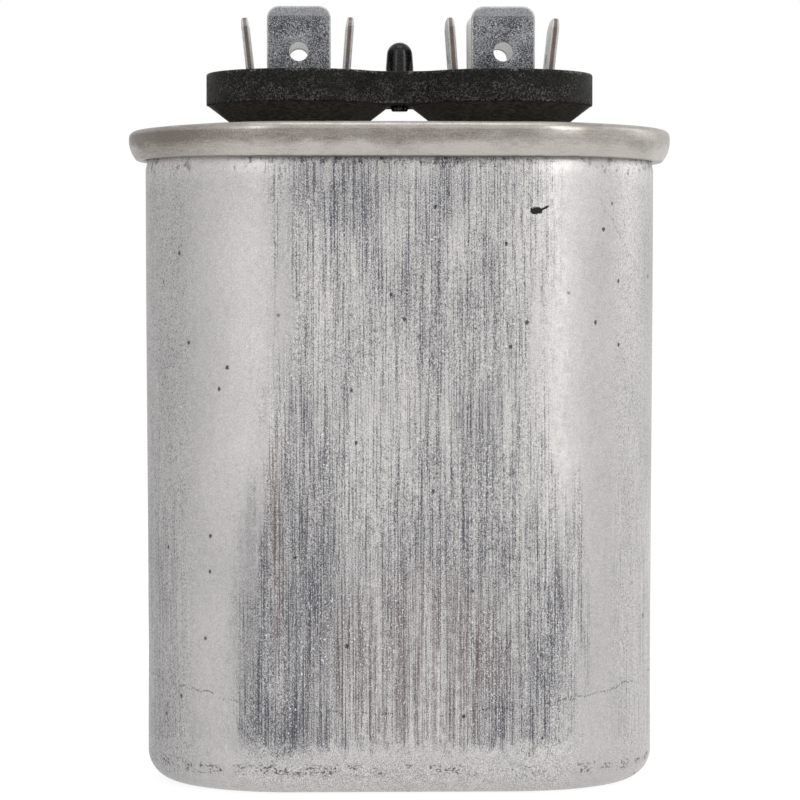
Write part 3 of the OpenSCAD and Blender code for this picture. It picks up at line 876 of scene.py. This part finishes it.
def build_tabs(s, name, node, terminal, turn, leans, material):
    """One strip with a tab at each end: outlined flat, cut along its bends, coined and folded."""
    bm = bmesh.new()
    worn, sheared, coined, inner = (bm.verts.layers.float.new(name) for name in TAB_MARKS)
    radius = s.bend + s.sheet / 2
    reach = s.height - s.bend - s.sheet
    arcs = [radius * (math.pi / 2 - lean) for lean in leans]
    longest = max(arcs)
    length = s.flat_half + longest + reach
    turns = [math.radians(t) for t in (30, 60, 90)]
    rounds = [(s.edge * (1 - math.sin(t)), s.edge * (1 - math.cos(t))) for t in turns]
    upper = [(s.edge + mm(0.06), 0, 0), (s.edge, 0, 0.4)] + [(inset, drop, 1) for inset, drop in rounds]
    levels = [(inset, s.sheet / 2 - drop, value) for inset, drop, value in upper] + [(0, s.sheet * 0.15, 0)]
    levels = levels + [(i, -h, v) for i, h, v in levels[::-1]]
    middle = (len(levels) // 2 - 1, len(levels) // 2)
    holes = [(sign * (length - s.hole_drop), s.hole_radius) for sign in (1, -1)] + [(0, s.hole_in_base)]
    contours = [[outline_ring(bm, strip_outline(s, length, i), h, worn, v) for i, h, v in levels]]
    for level in middle:
        for vert in contours[0][level]:
            vert[sheared] = 1
    for centre, hole in holes:
        made = []
        for inset, height, value in levels:
            ring = round_ring(bm, (centre, 0), hole + inset * 0.3, height, 40)
            for vert in ring:
                vert[worn] = 1 if inset < s.edge else value
            made.append(ring)
        contours.append(made)
    for rings in contours:
        bridge_all(bm, rings)
    for level in (0, -1):
        fill_flat(bm, [rings[level] for rings in contours])
    coin = (s.sheet - s.tip_edge) / 2 / math.tan(s.tip_bevel)
    cuts = [s.flat_half + longest * k / 9 for k in range(10)] + [length - coin, length - coin - mm(0.05)]
    for cut in cuts:
        for sign in (1, -1):
            whole = bm.verts[:] + bm.edges[:] + bm.faces[:]
            at = (sign * cut, 0, 0)
            bmesh.ops.bisect_plane(bm, geom=whole, plane_co=at, plane_no=(1, 0, 0), dist=mm(0.0005))
    for vert in bm.verts:
        vert[inner] = 1 if vert.co.z > s.sheet * 0.4 and abs(vert.co.x) > s.flat_half else 0
        left = length - abs(vert.co.x)
        if left < coin + mm(0.001):
            vert[coined] = 1
        if left < coin:
            vert.co.z *= (s.tip_edge + 2 * left * math.tan(s.tip_bevel)) / s.sheet
        bent = arcs[0] if vert.co.x >= 0 else arcs[1]
        past = abs(vert.co.x) - s.flat_half
        if past > 0:
            sign = 1 if vert.co.x >= 0 else -1
            moved = past * bent / longest if past < longest else past - longest + bent
            vert.co.x = sign * (s.flat_half + moved)
    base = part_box(node)[0].z
    stand = Matrix.Translation((terminal, 0, base)) @ Matrix.Rotation(turn, 4, "Z")
    for vert in bm.verts:
        vert.co = stand @ bend_strip(s, vert.co, leans)
    return add_piece(bm, name, [node], material, 28)


def build_rivet(side, material):
    """A rivet with a dimpled head over the tabs and a flat foot under the lug."""
    bm = bmesh.new()
    node = f"{side}_rivet"
    low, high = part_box(node)
    wide = (high.y - low.y) / 2 / mm(1)
    head = high.z - mm(0.95)
    profile = joined(
        above(low.z, (0, 0), (2.2, 0), (2.4, 0.15), (2.4, 0.6), (2.3, 0.7), (1.6, 0.7)),
        above(head, (1.6, 0), (wide - 0.1, 0), (wide, 0.1), (wide - 0.06, 0.3)),
        above(head, (2.1, 0.66), (1.6, 0.86), (1.15, 0.95), (0.9, 0.9), (0.6, 0.74), (0, 0.68)),
    )
    turned(bm, (SIDES[side] * terminal_x, 0), profile, 56)
    return add_piece(bm, f"{side}_riveted_head", [node], material)


# The sealed pieces' finishes: nodes, light and dark tones, grain, metallic, roughness and relief in mm.
INNER_FINISHES = {
    "joint_sealant": (("seam_compound",), (0.14, 0.15, 0.14), (0.09, 0.1, 0.09), (4, 4, 4), 0, 0.55, 0.03),
    "gasket_rubber": (
        ("left_gasket", "right_gasket"), (0.04, 0.036, 0.032), (0.025, 0.022, 0.02), (6, 6, 6), 0, 0.6, 0.02,
    ),
    "washer_nylon": (
        ("left_washer", "right_washer"), (0.7, 0.65, 0.52), (0.62, 0.56, 0.43), (3, 3, 3), 0, 0.4, 0.01,
    ),
    "lug_brass": (("left_lug", "right_lug"), (0.55, 0.4, 0.17), (0.4, 0.27, 0.1), (6, 6, 2), 1, 0.25, 0.01),
    "fibre_board": (("interrupter_plate",), (0.32, 0.17, 0.08), (0.2, 0.1, 0.045), (0.8, 5, 5), 0, 0.5, 0.03),
    "film_wrap": (("roll_wrap",), (0.72, 0.63, 0.36), (0.62, 0.52, 0.27), (0.4, 0.4, 3), 0, 0.2, 0.01),
    "wound_film": (("film_roll",), (0.6, 0.58, 0.53), (0.4, 0.385, 0.35), (0.3, 7, 0.2), 0.6, 0.25, 0.02),
    "core_plastic": (("roll_core",), (0.8, 0.77, 0.7), (0.72, 0.69, 0.61), (2, 2, 2), 0, 0.4, 0.01),
    "sprayed_zinc": (
        ("top_end_spray", "bottom_end_spray"),
        (0.36, 0.37, 0.39), (0.2, 0.21, 0.22), (7, 7, 7), 0.8, 0.55, 0.08,
    ),
    "lead_copper": (
        ("short_lead", "long_lead"), (0.6, 0.3, 0.14), (0.45, 0.2, 0.09), (6, 6, 0.8), 1, 0.22, 0.01,
    ),
    "sleeve_plastic": (("lead_sleeve",), (0.09, 0.12, 0.18), (0.06, 0.08, 0.12), (4, 4, 1), 0, 0.4, 0.01),
    "cup_plastic": (("insulating_cup",), (0.78, 0.75, 0.66), (0.7, 0.66, 0.57), (3, 3, 3), 0, 0.4, 0.01),
}


# ---- Stage ----


def seen_or_mirrored(nodes, links):
    """1 for what the camera sees and for what metal and glass show, 0 for what lights the object."""
    path = nodes.new("ShaderNodeLightPath")
    either = path.outputs["Is Camera Ray"]
    for kind in ("Is Glossy Ray", "Is Transmission Ray"):
        larger = nodes.new("ShaderNodeMath")
        larger.operation = "MAXIMUM"
        links.new(either, larger.inputs[0])
        links.new(path.outputs[kind], larger.inputs[1])
        either = larger.outputs[0]
    return either


def mixed_surface(nodes, links, amount, first, second, output):
    """Mixes two surfaces into the output."""
    mixed = nodes.new("ShaderNodeMixShader")
    links.new(amount, mixed.inputs["Fac"])
    links.new(first.outputs[0], mixed.inputs[1])
    links.new(second.outputs[0], mixed.inputs[2])
    links.new(mixed.outputs[0], nodes.new(output).inputs["Surface"])


def floor_finish():
    """A pale floor that reads as white round the object and keeps its shadow."""
    material = bpy.data.materials.new("pale_floor")
    material.use_nodes = True
    nodes, links = material.node_tree.nodes, material.node_tree.links
    nodes.clear()
    paint = nodes.new("ShaderNodeBsdfDiffuse")
    paint.inputs["Color"].default_value = (0.86, 0.86, 0.86, 1)
    glow = nodes.new("ShaderNodeEmission")
    glow.inputs["Strength"].default_value = 1.22
    share = nodes.new("ShaderNodeMath")
    share.operation = "MULTIPLY"
    share.inputs[1].default_value = 0.7
    links.new(seen_or_mirrored(nodes, links), share.inputs[0])
    mixed_surface(nodes, links, share.outputs[0], paint, glow, "ShaderNodeOutputMaterial")
    return material


def add_floor():
    bm = bmesh.new()
    just_under = -mm(0.02)
    rings = [round_ring(bm, (0, 0), radius, just_under, 64) for radius in (20.0, 0.3)]
    bridge_all(bm, rings)
    bm.faces.new(rings[-1])
    add_object(bm, "floor", floor_finish())


def add_world(fill):
    """Plain white all round for what is seen and mirrored, and a softer fill for the light."""
    world = bpy.data.worlds.new("studio")
    bpy.context.scene.world = world
    world.use_nodes = True
    nodes, links = world.node_tree.nodes, world.node_tree.links
    nodes.clear()
    light, seen = (nodes.new("ShaderNodeBackground") for _ in range(2))
    for background, strength in ((light, fill), (seen, 1)):
        background.inputs["Color"].default_value = (1, 1, 1, 1)
        background.inputs["Strength"].default_value = strength
    mixed_surface(nodes, links, seen_or_mirrored(nodes, links), light, seen, "ShaderNodeOutputWorld")


LAMP_DISTANCE = 0.6
LAMP_TARGET = Vector((0, 0, 0.05))

# Soft lamps: degrees round from the front and up, width and height in metres, and brightness.
LAMPS = {
    "left_softbox": (-31, 26, 0.09, 0.36, 5.0),
    "right_softbox": (41, 26, 0.13, 0.40, 5.0),
    "right_back_softbox": (105, 20, 0.30, 0.40, 1.2),
    "top_softbox": (0, 80, 0.35, 0.25, 1.8),
}


def add_lamp(name, azimuth, elevation, width, height, brightness):
    """A soft rectangular lamp. Its brightness is that of its face, where 1 is white."""
    lamp = bpy.data.lights.new(name, "AREA")
    lamp.shape = "RECTANGLE"
    lamp.size, lamp.size_y = width, height
    lamp.energy = brightness * math.pi * width * height
    holder = bpy.data.objects.new(name, lamp)
    a, e = math.radians(azimuth), math.radians(elevation)
    away = Vector((math.sin(a) * math.cos(e), -math.cos(a) * math.cos(e), math.sin(e)))
    holder.location = LAMP_TARGET + away * LAMP_DISTANCE
    holder.rotation_euler = away.to_track_quat("Z", "Y").to_euler()
    bpy.context.scene.collection.objects.link(holder)


def add_camera(s):
    camera = bpy.data.cameras.new("camera")
    camera.lens = s.lens
    camera.sensor_width = 36
    camera.clip_start = 0.01
    holder = bpy.data.objects.new("camera", camera)
    holder.location = (-s.distance * math.sin(s.orbit), -s.distance * math.cos(s.orbit), s.height)
    look = Vector((s.aside, 0, s.aim)) - holder.location
    holder.rotation_euler = look.to_track_quat("-Z", "Y").to_euler()
    bpy.context.scene.collection.objects.link(holder)
    bpy.context.scene.camera = holder


# ---- Operators ----


class CAPACITOR_OT_stage(bpy.types.Operator):
    """Place the camera, the floor and the soft lamps"""

    bl_idname = "capacitor.stage"
    bl_label = "Set Stage"

    def execute(self, context):
        s = context.scene.capacitor_stage
        add_camera(s)
        context.scene.view_settings.view_transform = "Standard"
        add_floor()
        add_world(s.fill)
        for name, lamp in LAMPS.items():
            add_lamp(name, *lamp)
        return {"FINISHED"}


class CAPACITOR_OT_can(bpy.types.Operator):
    """Build the drawn can in place of its plain solid"""

    bl_idname = "capacitor.can"
    bl_label = "Build Can"

    def execute(self, context):
        build_can(context.scene.capacitor_can)
        return {"FINISHED"}


class CAPACITOR_OT_lid(bpy.types.Operator):
    """Build the recessed lid with its double seam"""

    bl_idname = "capacitor.lid"
    bl_label = "Build Lid"

    def execute(self, context):
        build_lid(context.scene.capacitor_lid)
        return {"FINISHED"}


class CAPACITOR_OT_block(bpy.types.Operator):
    """Build the moulded terminal block and its centre post"""

    bl_idname = "capacitor.block"
    bl_label = "Build Terminal Block"

    def execute(self, context):
        build_block(context.scene.capacitor_block)
        build_post()
        return {"FINISHED"}


class CAPACITOR_OT_tabs(bpy.types.Operator):
    """Build the four folded pairs of push-on tabs"""

    bl_idname = "capacitor.tabs"
    bl_label = "Build Tabs"

    def execute(self, context):
        s = context.scene.capacitor_tabs
        material = tab_finish(s)
        for side, sign in SIDES.items():
            place = sign * terminal_x
            turn = 0 if sign > 0 else math.pi
            leans = (s.outer_lean, s.inner_lean)
            build_tabs(s, f"{side}_side_blades", f"{side}_side_tabs", place, turn, leans, material)
            leans = (s.face_lean, s.face_lean)
            build_tabs(s, f"{side}_face_blades", f"{side}_face_tabs", place, -math.pi / 2, leans, material)
        return {"FINISHED"}


class CAPACITOR_OT_rivets(bpy.types.Operator):
    """Build the two rivets that clamp the tabs"""

    bl_idname = "capacitor.rivets"
    bl_label = "Build Rivets"

    def execute(self, context):
        material = rivet_finish()
        for side in SIDES:
            build_rivet(side, material)
        return {"FINISHED"}


class CAPACITOR_OT_inside(bpy.types.Operator):
    """Finish the sealed pieces inside the can"""

    bl_idname = "capacitor.inside"
    bl_label = "Finish Inside"

    def execute(self, context):
        for name, (nodes, *look) in INNER_FINISHES.items():
            material = plain_finish(name, *look)
            for node in nodes:
                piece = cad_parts[node]
                if not piece.material_slots:
                    piece.data.materials.append(material)
                for slot in piece.material_slots:
                    slot.material = material
        return {"FINISHED"}


class CAPACITOR_PT_build(bpy.types.Panel):
    bl_idname = "CAPACITOR_PT_build"
    bl_label = "Motor Run Capacitor"
    bl_space_type = "VIEW_3D"
    bl_region_type = "UI"
    bl_category = "Capacitor"

    def draw(self, context):
        for operator in OPERATORS:
            self.layout.operator(operator.bl_idname)
        for name, group in SETTINGS.items():
            box = self.layout.box()
            for key in group.__annotations__:
                box.prop(getattr(context.scene, name), key)


SETTINGS = {
    "capacitor_stage": StageSettings,
    "capacitor_can": CanSettings,
    "capacitor_lid": LidSettings,
    "capacitor_block": BlockSettings,
    "capacitor_tabs": TabSettings,
}
OPERATORS = (
    CAPACITOR_OT_stage, CAPACITOR_OT_can, CAPACITOR_OT_lid, CAPACITOR_OT_block,
    CAPACITOR_OT_tabs, CAPACITOR_OT_rivets, CAPACITOR_OT_inside,
)


def register():
    for name, group in SETTINGS.items():
        bpy.utils.register_class(group)
        setattr(bpy.types.Scene, name, PointerProperty(type=group))
    for operator in OPERATORS:
        bpy.utils.register_class(operator)
    bpy.utils.register_class(CAPACITOR_PT_build)


def unregister():
    bpy.utils.unregister_class(CAPACITOR_PT_build)
    for operator in reversed(OPERATORS):
        bpy.utils.unregister_class(operator)
    for name, group in SETTINGS.items():
        delattr(bpy.types.Scene, name)
        bpy.utils.unregister_class(group)


def main():
    register()
    bpy.ops.capacitor.stage()
    bpy.ops.capacitor.can()
    bpy.ops.capacitor.lid()
    bpy.ops.capacitor.block()
    bpy.ops.capacitor.tabs()
    bpy.ops.capacitor.rivets()
    bpy.ops.capacitor.inside()


if __name__ == "__main__":
    main()
